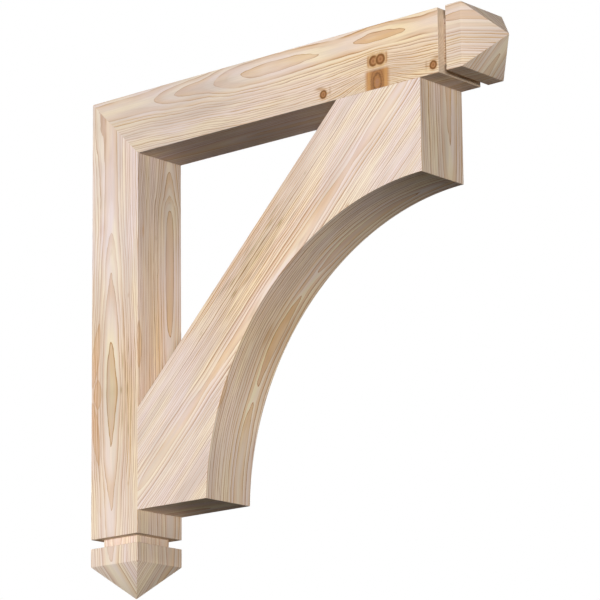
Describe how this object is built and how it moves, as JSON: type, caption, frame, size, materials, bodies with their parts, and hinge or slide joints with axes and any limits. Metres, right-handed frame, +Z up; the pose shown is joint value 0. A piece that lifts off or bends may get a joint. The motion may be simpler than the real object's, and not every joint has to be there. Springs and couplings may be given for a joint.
{
  "type": "wooden corbel bracket",
  "caption": "Wooden corbel bracket: mitred leg and arm with grooved, pointed ends and an arched brace between them. Fixes flat to a wall and carries a beam, shelf or eave.",
  "frame": {"origin": "on the wall face, the leg's flat back, halfway across it and halfway between the bracket's top and the groove", "axes": "+X out from the wall along the arm, +Y across the timbers, +Z up"},
  "size_m": [0.7112, 0.0888, 0.7112],
  "materials": {
    "leg_wood": "planed smooth, unfinished pale softwood, grain upright",
    "arm_wood": "planed smooth, unfinished pale softwood with a few small knots, grain level",
    "brace_wood": "planed and sawn smooth, unfinished pale softwood, grain at 45 degrees"
  },
  "bodies": {
    "root": {"leg": "leg_wood", "arm": "arm_wood", "brace": "brace_wood"}
  },
  "joints": []
}
